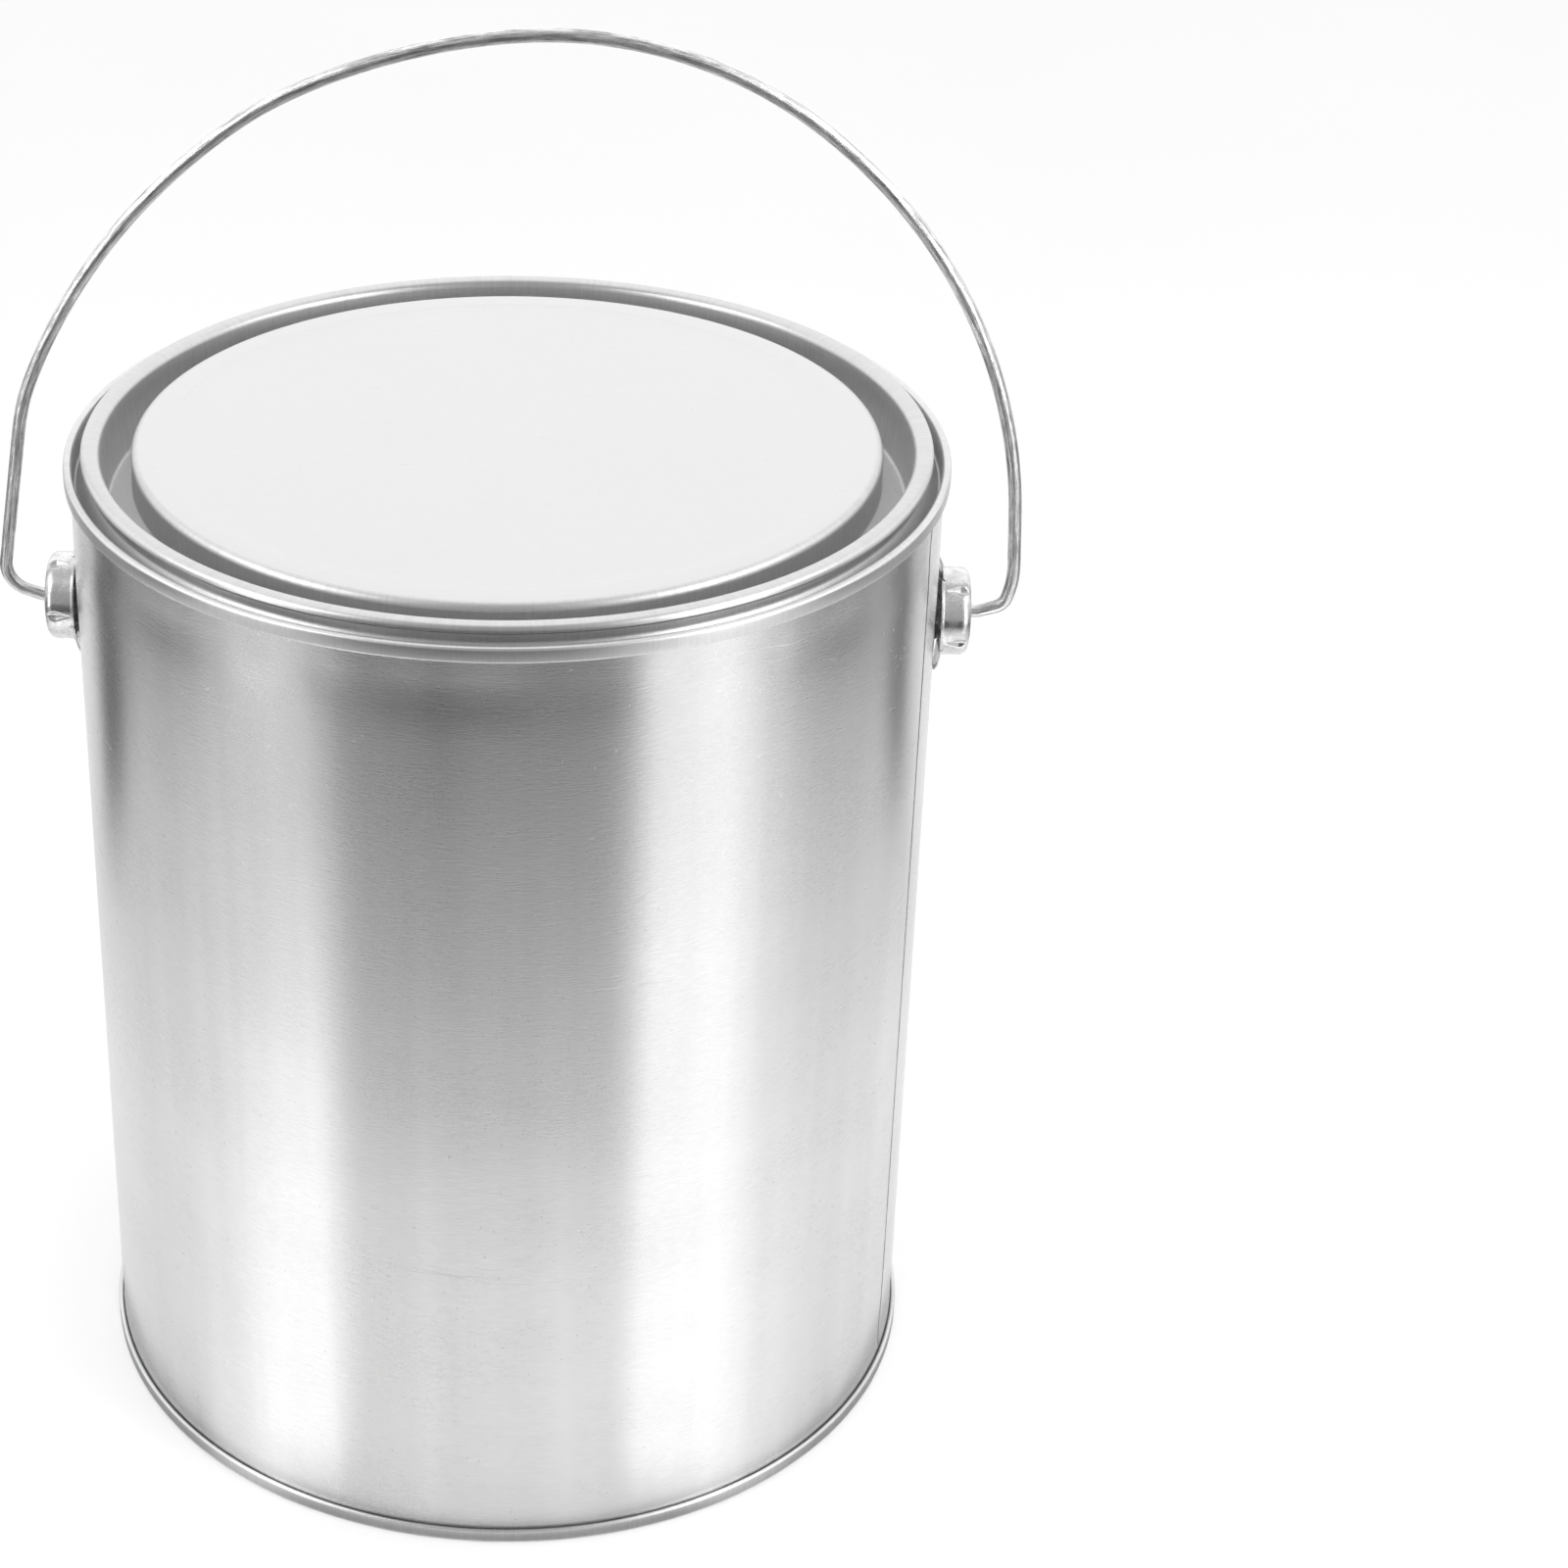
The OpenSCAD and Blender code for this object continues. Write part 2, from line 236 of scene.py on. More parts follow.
class Nodes:
    """A short way to build one material's node tree."""

    def __init__(self, name):
        self.material = bpy.data.materials.new(name)
        self.material.use_nodes = True
        self.tree = self.material.node_tree
        self.shader = self.tree.nodes["Principled BSDF"]

    def add(self, kind, inputs=None, **settings):
        made = self.tree.nodes.new(kind)
        for key, value in settings.items():
            setattr(made, key, value)
        for key, value in (inputs or {}).items():
            self.link(value, made.inputs[key])
        return made

    def link(self, value, socket):
        if isinstance(value, bpy.types.NodeSocket):
            self.tree.links.new(value, socket)
        else:
            socket.default_value = value

    def set(self, **values):
        for key, value in values.items():
            self.link(value, self.shader.inputs[key.replace("_", " ")])

    def grain(self):
        return self.add("ShaderNodeAttribute", attribute_name="grain").outputs["Vector"]

    def place(self):
        """The place on the object, in millimetres."""
        at = self.add("ShaderNodeTexCoord").outputs["Object"]
        return self.stretched(at, (1 / MM, 1 / MM, 1 / MM))

    def stretched(self, vector, scale):
        return self.add("ShaderNodeMapping", {"Vector": vector, "Scale": scale}).outputs["Vector"]

    def noise(self, vector, scale, detail=2.0, rough=0.5):
        made = self.add("ShaderNodeTexNoise",
                        {"Vector": vector, "Scale": scale, "Detail": detail, "Roughness": rough})
        return made.outputs["Fac"]

    def ranged(self, value, low, high, to_low=0.0, to_high=1.0, kind="LINEAR"):
        """to_low below low, to_high above high, and a straight slope between."""
        made = self.add("ShaderNodeMapRange", {"Value": value, "From Min": low, "From Max": high,
                                               "To Min": to_low, "To Max": to_high},
                        interpolation_type=kind)
        return made.outputs["Result"]

    def soft(self, value, low, high, to_low=0.0, to_high=1.0):
        """The same with a soft slope between."""
        return self.ranged(value, low, high, to_low, to_high, "SMOOTHSTEP")

    def math(self, kind, a, b=0.0):
        made = self.add("ShaderNodeMath", operation=kind)
        self.link(a, made.inputs[0])
        self.link(b, made.inputs[1])
        return made.outputs[0]

    def times(self, a, b):
        return self.math("MULTIPLY", a, b)

    def mix(self, share, a, b, kind="RGBA"):
        """A colour part way from a to b."""
        made = self.add("ShaderNodeMix", data_type=kind)
        self.link(share, made.inputs["Factor"])
        self.link(a, made.inputs["A"])
        self.link(b, made.inputs["B"])
        return made.outputs["Result"]

    def number(self, share, a, b):
        """A value part way from a to b."""
        return self.mix(share, a, b, "FLOAT")

    def blend(self, first, second, share):
        """Two noises added, the first with that share and the second with the rest."""
        return self.math("ADD", self.times(first, share), self.times(second, 1.0 - share))

    def spread_gloss(self, amount, turn, axis):
        """Gloss that spreads along an axis of the can."""
        tangent = self.add("ShaderNodeTangent", direction_type="RADIAL", axis=axis)
        self.set(Anisotropic=amount, Anisotropic_Rotation=turn,
                 Tangent=tangent.outputs["Tangent"])

    def bump(self, height, strength, distance):
        """A bump of that height in millimetres, added to any bump already there."""
        made = self.add("ShaderNodeBump", {"Height": height, "Strength": strength,
                                           "Distance": distance * MM})
        before = self.shader.inputs["Normal"]
        if before.is_linked:
            self.link(before.links[0].from_socket, made.inputs["Normal"])
        self.link(made.outputs["Normal"], before)

    def scratches(self, vector, turn, length, apart, width, share):
        """Near-parallel hairlines, where a long stretched noise crosses its middle, in patches."""
        mapping = self.add("ShaderNodeMapping", {"Vector": vector,
                                                 "Rotation": (0, math.radians(turn), 0),
                                                 "Scale": (1 / length, 1 / length, 1 / apart)})
        laid = mapping.outputs["Vector"]
        wave = self.noise(laid, 1.0, 0.0)
        away = self.math("ABSOLUTE", self.math("SUBTRACT", wave, 0.5))
        line = self.ranged(away, 0.0, width, 1.0, 0.0)
        patch = self.ranged(self.noise(laid, 0.6, 1.0), 0.5 + share, 0.56 + share)
        return self.times(line, patch)


def grey(level):
    return (level, level, level, 1)


def body_material():
    """Rolled tinplate: short level strokes, faint upright bands of painted reflection, specks and
    fine scratches.
    """
    m = Nodes("tinplate_body")
    at = m.place()
    strokes = m.noise(m.stretched(at, (0.45, 0.45, 3.2)), 1.0, 3.0, 0.65)
    fine = m.noise(m.stretched(at, (0.9, 0.9, 6.0)), 1.0, 2.0)
    clouds = m.noise(m.stretched(at, (0.03, 0.03, 0.05)), 1.0, 3.0)
    marks = m.scratches(at, 25, 30.0, 2.5, 0.012, 0.12)
    specks = m.ranged(m.noise(at, 0.9, 0.0), 0.82, 0.86)
    worn = m.math("MAXIMUM", marks, specks)
    # painted reflection: soft upright bands in the colour stand in for the studio's edges seen in
    # the side
    painted_reflection_bands = m.noise(m.stretched(at, (0.11, 0.11, 0.004)), 1.0, 2.0)
    tone = m.blend(strokes, clouds, 0.6)
    shade = m.blend(tone, painted_reflection_bands, 0.6)
    m.set(Base_Color=m.mix(m.ranged(shade, 0.38, 0.62), grey(0.585), grey(0.665)),
          Metallic=1.0,
          Roughness=m.math("ADD", m.ranged(tone, 0.35, 0.65, 0.28, 0.25), m.times(worn, 0.12)))
    m.spread_gloss(0.6, 0.25, "Z")
    m.bump(strokes, 1.0, 0.018)
    m.bump(fine, 1.0, 0.008)
    m.bump(worn, 0.5, -0.012)
    return m.material


def ring_material():
    """Formed tinplate of the seams: fine lines along the section left by the seaming rolls."""
    m = Nodes("tinplate_ends")
    lines = m.noise(m.stretched(m.grain(), (2.2, 2.2, 0.25)), 1.0, 3.0, 0.65)
    rolled = m.noise(m.stretched(m.grain(), (0.05, 0.05, 6.0)), 1.0, 2.0)
    clouds = m.noise(m.place(), 0.06, 3.0)
    tone = m.blend(lines, clouds, 0.5)
    m.set(Base_Color=m.mix(m.ranged(tone, 0.38, 0.62), grey(0.58), grey(0.67)),
          Metallic=1.0,
          Roughness=m.ranged(tone, 0.35, 0.65, 0.42, 0.33))
    m.bump(lines, 0.25, 0.008)
    m.bump(rolled, 0.5, 0.008)
    return m.material


def lid_material():
    """The lid: an almost plain panel, a rim with drawn lines, and a groove whose floor is painted
    light: paler at its outside and darker towards the inside.
    """
    m = Nodes("tinplate_lid")
    at = m.place()
    along = m.add("ShaderNodeSeparateXYZ", {"Vector": m.grain()}).outputs["Z"]
    grain = m.noise(m.stretched(at, (0.5, 1.6, 0.5)), 1.0, 3.0, 0.6)
    drawn = m.noise(m.stretched(m.grain(), (1.3, 1.3, 0.12)), 1.0, 4.0, 0.75)
    clouds = m.noise(at, 0.035, 2.0)
    specks = m.ranged(m.noise(at, 0.55, 0.0), 0.83, 0.87)
    # each zone is 1 on its own stretch of the sheet, and meets the next over a millimetre or so
    rim_end, wall_end, floor_end, shoulder_end = lid_section()[2]
    worked = m.ranged(along, shoulder_end - 0.6, shoulder_end, 1.0, 0.0)
    rim = m.ranged(along, rim_end - 0.8, rim_end, 1.0, 0.0)
    groove = m.times(m.ranged(along, wall_end - 1.5, wall_end, 0.0, 1.0),
                     m.ranged(along, floor_end - 0.5, floor_end + 0.5, 1.0, 0.0))
    plain = m.mix(m.ranged(grain, 0.3, 0.7), grey(0.605), grey(0.62))
    lined = m.mix(m.ranged(drawn, 0.3, 0.7), grey(0.53), grey(0.61))
    # painted light: the groove's floor is coloured pale near its outer wall and darker towards the
    # inside
    pale = m.mix(m.ranged(drawn, 0.36, 0.64), grey(0.8), grey(0.97))
    painted_light_groove_tone = m.mix(m.ranged(along, wall_end, floor_end), pale, grey(0.62))
    even = m.ranged(clouds, 0.3, 0.7, 0.33, 0.31)
    rough = m.ranged(drawn, 0.36, 0.64, 0.5, 0.4)
    worked_rough = m.number(groove, m.number(rim, rough, 0.36), 0.62)
    m.set(Base_Color=m.mix(groove, m.mix(worked, plain, lined), painted_light_groove_tone),
          Metallic=m.number(groove, 1.0, 0.25),
          Roughness=m.math("ADD", m.number(worked, even, worked_rough), m.times(specks, 0.1)))
    m.bump(grain, 0.15, 0.003)
    m.bump(m.times(drawn, worked), 0.6, 0.02)
    m.bump(specks, 0.5, -0.015)
    return m.material


def weld_material():
    """The resistance weld: a dull blued strip with close ripples up its length."""
    m = Nodes("weld")
    at = m.place()
    ripples = m.noise(m.stretched(at, (0.6, 0.6, 1.6)), 1.0, 2.0)
    blued, bare = (0.13, 0.135, 0.15, 1), (0.3, 0.3, 0.31, 1)
    m.set(Base_Color=m.mix(m.ranged(ripples, 0.35, 0.65), blued, bare),
          Metallic=1.0,
          Roughness=m.ranged(ripples, 0.3, 0.7, 0.5, 0.38))
    m.bump(ripples, 0.6, 0.03)
    return m.material


def ear_material():
    """Pressed ears: mottled plated steel with drawn lines and gloss along the cup."""
    m = Nodes("ear_steel")
    at = m.place()
    drawn = m.noise(m.stretched(at, (0.3, 2.4, 2.4)), 1.0, 2.0)
    clouds = m.noise(at, 0.5, 3.0)
    mottle = m.noise(at, 1.6, 3.0, 0.7)
    tone = m.blend(clouds, mottle, 0.5)
    m.set(Base_Color=m.mix(m.ranged(tone, 0.38, 0.62), grey(0.54), grey(0.74)),
          Metallic=1.0,
          Roughness=m.ranged(tone, 0.4, 0.6, 0.36, 0.22))
    m.spread_gloss(0.8, 0.25, "X")
    m.bump(drawn, 0.5, 0.012)
    m.bump(mottle, 0.5, 0.03)
    return m.material


def wire_material():
    """Plated steel wire: bright, with painted highlight and painted shade as short light and dark
    streaks along its length.
    """
    m = Nodes("bail_steel")
    painted_highlight_streaks = m.noise(m.stretched(m.grain(), (4.5, 4.5, 0.12)), 1.0, 4.0, 0.75)
    patches = m.noise(m.stretched(m.grain(), (1.5, 1.5, 0.3)), 1.0, 4.0, 0.7)
    nicks = m.scratches(m.grain(), 0, 0.8, 2.0, 0.02, 0.1)
    tone = m.blend(painted_highlight_streaks, patches, 0.75)
    # painted highlight and shade: the colour runs from dark grey to near white along the streaks,
    # standing in for reflected light
    m.set(Base_Color=m.mix(m.ranged(tone, 0.4, 0.58), grey(0.24), grey(0.95)),
          Metallic=1.0,
          Roughness=m.ranged(tone, 0.42, 0.58, 0.38, 0.24))
    m.bump(painted_highlight_streaks, 1.0, 0.07)
    m.bump(nicks, 0.5, -0.02)
    return m.material


def compound_material():
    """Sealing compound: dull grey-green rubber, slightly grainy."""
    m = Nodes("sealing_compound")
    at = m.place()
    grains = m.noise(at, 2.5, 3.0)
    m.set(Base_Color=m.mix(grains, (0.09, 0.1, 0.09, 1), (0.16, 0.17, 0.155, 1)),
          Roughness=m.ranged(grains, 0.3, 0.7, 0.7, 0.85))
    m.bump(grains, 0.5, 0.03)
    return m.material


# ---------------------------------------------------------------- body, seams and bottom

# From the end hook's tip, round the seaming panel and over the seam's flat to the chuck wall
SEAM_STEPS = [[HOOK_L], [HOOK_BEND, 180], [SEAM_H - END_T - HOOK_BEND - SEAM_ROUND],
              [SEAM_ROUND, 90], [SEAM_FLAT], [SEAM_ROUND, 90]]
SEAM_START = [PANEL_MID - 2 * HOOK_BEND, HOOK_L - SEAM_H + END_T / 2 + HOOK_BEND, -90]


def seam_uneven(top):
    """The double seam rolled slightly uneven, and thicker where it crosses the side weld."""
    weld_half, weld_swell, roll_depth = 1.1, 0.05, 0.035

    def uneven(r, turn, z):
        outside = smooth(BODY_R + 0.2, SEAM_R, r)
        off = math.remainder(turn - WELD_TURN, math.tau) * SEAM_R
        over_weld = math.exp(-(off / weld_half) ** 2)
        low = (CAN_H - z if top else z) / SEAM_H
        tuck = weld_swell * over_weld * smooth(0.3, 1.0, low)
        roll = -roll_depth * (1 + bumps(turn, z, 9.0, 40.0))
        return r + outside * (roll + tuck), z
    return uneven


def wall_uneven(r, turn, z):
    """Thin sheet is never quite round: broad shallow waves, and a slight pull-in by each seam."""
    wave_depth, ripple_depth, pull_depth = 0.05, 0.012, 0.14
    pull_from_seam, pull_half = 6, 4.5
    end = min(z, CAN_H - z)
    free = smooth(SEAM_H, SEAM_H + 25, end)
    waves = (wave_depth * bumps(turn, z, 1.5, 90.0)
             + ripple_depth * bumps(turn, z, 5.0, 30.0, 7.0))
    pull = pull_depth * (1 + 1.3 * bumps(turn, z, 10.0, 300.0, 2.0))
    bead = pull * math.exp(-((end - SEAM_H - pull_from_seam) / pull_half) ** 2)
    return r + free * waves - bead * smooth(SEAM_H, SEAM_H + 3, end), z


def can_wall(material):
    hook_bend, hook_gap = 0.385, 0.1
    bend_z = END_T + hook_gap + BODY_T / 2 + hook_bend
    steps = [[HOOK_L], [hook_bend, -180], [CAN_H - 2 * bend_z], [hook_bend, -180], [HOOK_L]]
    start = [WALL_MID + 2 * hook_bend, bend_z + HOOK_L, -90]
    wall = revolve("can_wall", sheet(start, steps, BODY_T, longest=3.0), material, wall_uneven)
    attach(wall, "can")
    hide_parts("body_shell")


def bottom(material):
    """The bottom end: its seam, and a panel with a raised ring pressed into it."""
    ramp, bend, drop = 30, 1.0, 0.8
    corner, rise = 0.6, 4.5
    ledge, outer_ring, inner_ring = 4.0, 12.0, 14.0
    slope = (drop - 2 * bend * (1 - math.cos(math.radians(ramp)))) / math.sin(math.radians(ramp))
    step_in = [[bend, -ramp], [slope], [bend, ramp]]
    step_out = [[bend, ramp], [slope], [bend, -ramp]]
    steps = [*SEAM_STEPS, [rise - SEAM_ROUND - END_T - corner], [corner, -90], [ledge],
             *step_in, [outer_ring], *step_out, [inner_ring], *step_in]
    steps.append([end_of(in_radians(SEAM_START), steps)[0]])
    made = revolve("bottom_end_sheet", sheet(SEAM_START, steps, END_T), material,
                   seam_uneven(top=False), mirrored=True)
    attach(made, "can")
    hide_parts("bottom_end")


def top_ring(material):
    """The top ring: its seam, the channel inside it, and the mouth with its curl and hem."""
    lean, slope = 4, 125
    channel, knee, bead, hem, hem_l = 0.4, 1.2, 0.815, 0.35, 1.2
    depth, mouth_r = 4.5, 76.2
    mouth_mid = mouth_r + END_T / 2
    chuck = (depth - END_T - SEAM_ROUND - channel * (1 - math.sin(math.radians(lean)))) \
        / math.cos(math.radians(lean))
    down = [*SEAM_STEPS, [channel, -lean], [chuck], [channel, slope + lean - 270]]
    low = end_of(in_radians(SEAM_START), down)
    knee_in = knee * (1 - math.sin(math.radians(slope)))
    climb = (low[0] - mouth_mid - 2 * bead - knee_in) / -math.cos(math.radians(slope))
    up = [*down, [climb], [knee, 90 - slope]]
    foot = end_of(in_radians(SEAM_START), up)
    rise = BEAD_TOP - END_T / 2 - bead - foot[1]
    wall = BEAD_TOP + MOUTH_DEPTH - bead - hem - END_T
    steps = [*up, [rise], [bead, 180], [wall], [hem, 180], [hem_l]]
    made = revolve("mouth_ring", sheet(SEAM_START, steps, END_T, lift=CAN_H), material,
                   seam_uneven(top=True))
    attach(made, "can")
    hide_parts("top_ring")


def weld_bead(material):
    """A crowned bead with soft edges, wandering a little down the can's side."""
    half, proud, sunk, thick, wander = 0.45, 0.08, 0.03, 0.05, 0.04
    low, high = WELD_LOW.z / MM, WELD_HIGH.z / MM
    across, rows = 8, 120
    points, grain = [], []
    for i in range(rows + 1):
        z = low + (high - low) * i / rows
        drift = wander * noise.noise(Vector((z / 9, 3.1, 0.0)))
        wide = half * (0.92 + 0.08 * noise.noise(Vector((z / 3, 0.0, 5.0))))
        for j in range(across + 1):
            share = 2 * j / across - 1
            turn = WELD_TURN + (drift + wide * share) / BODY_R
            crown = proud * (1 - share ** 4)
            r = wall_uneven(BODY_R, turn, z)[0] - sunk + crown
            points.append((r * math.cos(turn), r * math.sin(turn), z))
            grain.append((r * math.cos(turn), r * math.sin(turn), z))
    row = across + 1
    outer = len(points)
    for i in range(rows + 1):
        for j in (0, across):
            x, y, z = points[i * row + j]
            inward = 1 - thick / BODY_R
            points.append((x * inward, y * inward, z))
            grain.append((x, y, z))
    faces = []
    for i in range(rows):
        for j in range(across):
            a = i * row + j
            faces.append([a, a + 1, a + row + 1, a + row])
        a, b = i * row, outer + 2 * i
        faces.append([a + row, b + 2, b, a])
        faces.append([a + across, b + 1, b + 3, a + row + across])
        faces.append([b, b + 2, b + 3, b + 1])
    last = rows * row
    faces.append([outer, outer + 1, *reversed(range(0, row))])
    faces.append([outer + 2 * rows + 1, outer + 2 * rows, *range(last, last + row)])
    bead = add_mesh("weld_bead", points, faces, grain, material)
    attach(bead, "can")
    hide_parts("side_weld")


# ---------------------------------------------------------------- lid

def lid_section():
    """The start and steps of the lid's section, and where its rim, wall, floor and shoulder end."""
    hem, hem_l, skirt_foot = 0.3, 0.3, 0.8
    outer_bend, rim_flat, inner_bend = 0.95, 1.1, 1.4
    lean, slope = 4, 135
    low_bend, in_bend, shoulder = 0.5, 0.8, 1.5 - END_T / 2
    middle_r, panel_top = 70.0, 1.8
    edge_flat, dip = 4.2, [[0.6, 22], [0.6, -22]]
    skirt = RIM_TOP - skirt_foot - END_T - hem - outer_bend
    start = [LID_R - END_T / 2 - 2 * hem, skirt_foot + END_T / 2 + hem + hem_l, -90]
    start_pose = in_radians(start)
    wall = (RIM_TOP + GROOVE_DEPTH - END_T - inner_bend * math.cos(math.radians(lean))
            - low_bend * (1 - math.sin(math.radians(lean)))) / math.cos(math.radians(lean))
    rim = [[hem_l], [hem, 180], [skirt], [outer_bend, 90], [rim_flat], [inner_bend, 90 - lean]]
    to_floor = [*rim, [wall], [low_bend, slope + lean - 270]]
    low = end_of(start_pose, to_floor)
    inward = low[0] - middle_r + END_T / 2 - in_bend * (1 - math.sin(math.radians(slope)))
    to_middle = [*to_floor, [inward / -math.cos(math.radians(slope))], [in_bend, 90 - slope]]
    foot = end_of(start_pose, to_middle)
    rise = panel_top - END_T / 2 - shoulder - foot[1]
    to_panel = [*to_middle, [rise], [shoulder, 90]]
    steps = [*to_panel, [edge_flat], *dip]
    steps.append([end_of(start_pose, steps)[0]])
    return start, steps, [length_of(part) for part in (rim, to_floor, to_middle, to_panel)]


def lid_uneven(r, turn, z):
    """The panel lies in broad shallow waves and the rim's edge is slightly uneven."""
    wave_length, depth = 30, 0.05
    x, y = r * math.cos(turn) / wave_length, r * math.sin(turn) / wave_length
    inside = 1 - smooth(55, 66, r)
    rim = smooth(LID_R - 1.5, LID_R, r)
    wave = depth * noise.noise(Vector((x, y, 2.0))) * inside
    return r - depth * rim * (1 + bumps(turn, z, 7.0, 30.0, 3.0)), z + wave


def lid(material):
    start, steps, _ = lid_section()
    made = revolve("lid_sheet", sheet(start, steps, END_T, lift=CAN_H, longest=5.0), material,
                   lid_uneven)
    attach(made, "lid")
    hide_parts("lid_plug")


# ---------------------------------------------------------------- ears

EAR_R = 8.4
EAR_T = 0.4
EAR_CORNER = 1.8
EAR_MID_R = EAR_R - EAR_T / 2
HOLE_R = 1.33
TAB_HALF = 5.0
WINDOW_X = BODY_R + 0.8
TAB_BEND = 0.6
TAB_LIFT = 1.0
TAB_REACH = 11.0
TAB_TIP = 2.6
TAB_SHOULDER = 9.0
LIP_BEND = 0.5
LIP_TURN = 70
PINCH_TURN = 37
PINCH_FROM = WINDOW_X + 0.6
PINCH_LONG = 4.2
PINCH_HALF = 1.15
PINCH_DEPTH = 0.6
PINCH_PEAK = 0.7
# Rows of points on the ear's section, over each part of it
FACE_ROWS, CORNER_ROWS, SIDE_ROWS = 8, 10, 24
LIP_ROWS, BEND_ROWS, TAB_ROWS = 5, 4, 8
CUP_ROWS = FACE_ROWS + CORNER_ROWS + SIDE_ROWS
# Degrees between the ear's columns of points, which are closer at a pinch and a tab's edge
EAR_STEP = 2.0
EDGE_GAP = 0.15
PINCH_REACH = 9


def pinch(x, turn):
    """How far the four staking dents push the side in: drops that point at the open side."""
    along = (x - PINCH_FROM) / PINCH_LONG
    if not 0 < along < 1:
        return 0.0
    if along < PINCH_PEAK:
        wide = (along / PINCH_PEAK) ** 0.9
    else:
        wide = math.sqrt(1 - ((along - PINCH_PEAK) / (1 - PINCH_PEAK)) ** 2)
    depth = 0.0
    for middle in (PINCH_TURN, 180 - PINCH_TURN, 180 + PINCH_TURN, -PINCH_TURN):
        off = math.remainder(turn - math.radians(middle), math.tau) * EAR_R / (PINCH_HALF * wide)
        if abs(off) < 1:
            depth = PINCH_DEPTH * wide * (1 - off * off)
    return depth


def ear_column(turn, roll):
    """Middle surface of the ear down one line of the cup: points (x, y, z) before the roll."""
    c, n = math.cos(turn), math.sin(turn)
    face_x = EAR_REACH - EAR_T / 2
    corner = EAR_CORNER - EAR_T / 2
    face_r = EAR_R - EAR_CORNER
    rows = [(face_x, HOLE_R + (face_r - HOLE_R) * k / (FACE_ROWS - 1)) for k in range(FACE_ROWS)]
    for k in range(1, CORNER_ROWS + 1):
        a = math.radians(90 * k / CORNER_ROWS)
        x = face_x - corner * (1 - math.cos(a))
        rows.append((x, face_r + (corner - pinch(x, turn)) * math.sin(a)))
    tab = abs(c) * EAR_MID_R < TAB_HALF + 0.01
    if tab:
        bottom_x = WINDOW_X + TAB_LIFT
    else:
        bottom_x = WINDOW_X + LIP_BEND * math.sin(math.radians(LIP_TURN))
    top_x = face_x - corner
    for k in range(1, SIDE_ROWS + 1):
        x = top_x + (bottom_x - top_x) * k / SIDE_ROWS
        rows.append((x, EAR_MID_R - pinch(x, turn)))
    if not tab:
        for k in range(1, LIP_ROWS + 1):
            a = math.radians(LIP_TURN * k / LIP_ROWS)
            rows.append((bottom_x - LIP_BEND * math.sin(a),
                         EAR_MID_R + LIP_BEND * (1 - math.cos(a))))
    points = [(x, r * c, r * n) for x, r in rows]
    if not tab:
        return points
    # the flange turns out from the cup's foot and leans down to the body at the tab's tip
    side = math.copysign(1, n)
    share = c * EAR_MID_R / TAB_HALF
    wide = TAB_TIP / TAB_HALF
    fall = max(0.0, (abs(share) - wide) / (1 - wide))
    edge_v, edge_w = share * TAB_HALF, side * (TAB_REACH - fall * (TAB_REACH - TAB_SHOULDER))
    foot_v, foot_w = EAR_MID_R * c, EAR_MID_R * n
    for k in range(1, BEND_ROWS + 1):
        a = math.radians(90 * k / BEND_ROWS)
        out = TAB_BEND * (1 - math.cos(a))
        lift = TAB_LIFT + TAB_BEND * (1 - math.sin(a))
        points.append(on_wall(foot_v, foot_w + side * out, roll, lift))
    start_w = foot_w + side * TAB_BEND
    for k in range(1, TAB_ROWS + 1):
        w = start_w + (edge_w - start_w) * k / TAB_ROWS
        v = foot_v + (edge_v - foot_v) * k / TAB_ROWS
        down = (abs(w) - abs(foot_w)) / (TAB_REACH - abs(foot_w))
        points.append(on_wall(v, w, roll, TAB_LIFT * (1 - down * down)))
    return points


def on_wall(v, w, roll, lift):
    """A point of the tab, lying on the round body at v, w of the ear's own axes."""
    clear = 0.02
    y = v * math.cos(roll) - w * math.sin(roll)
    r = BODY_R + EAR_T / 2 + clear + lift
    return (math.sqrt(r * r - y * y), v, w)


def ear(name, node, side, roll, material):
    """One ear as a bent sheet, made solid: side is -1 or 1 along X, and roll turns it about X."""
    edge = 90 - math.degrees(math.asin(TAB_HALF / EAR_MID_R))
    turns = {round(EAR_STEP * k, 3) for k in range(int(90 / EAR_STEP) + 1)}
    turns |= {round(edge + d, 3) for d in (-EDGE_GAP, EDGE_GAP)}
    turns |= {PINCH_TURN + d for d in range(-PINCH_REACH, PINCH_REACH + 1)}
    quarter = sorted(turns)
    around = quarter + [180 - t for t in reversed(quarter[:-1])]
    around = around + [t + 180 for t in around[1:-1]]
    columns = [ear_column(math.radians(t), roll) for t in around]
    row_apart = 0.4
    points, grain, index = [], [], []
    turn = Matrix.Rotation(roll, 3, "X")
    for t, column in zip(around, columns):
        index.append([len(points) + k for k in range(len(column))])
        for k, p in enumerate(column):
            q = turn @ Vector(p)
            points.append((side * q.x, q.y, q.z + PIVOT_Z))
            a = math.radians(t)
            grain.append((EAR_R * math.cos(a), EAR_R * math.sin(a), k * row_apart))
    faces = []
    for i, low in enumerate(index):
        high = index[(i + 1) % len(index)]
        count = len(low) if len(low) == len(high) else CUP_ROWS
        for k in range(count - 1):
            face = [low[k], low[k + 1], high[k + 1], high[k]]
            faces.append(face if side > 0 else face[::-1])
    made = add_mesh(name, points, faces, grain, material, sharp=50)
    thick = made.modifiers.new("sheet", "SOLIDIFY")
    thick.thickness = EAR_T * MM
    thick.offset = 0.0
    thick.use_even_offset = True
    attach(made, "can")
    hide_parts(node)


# ---------------------------------------------------------------- bail

WIRE_R = 1.25
WIRE_SIDES = 24
PIN_END = 85.3
PIN_BEND_X = 88.6
HEAD_PROUD = 0.9
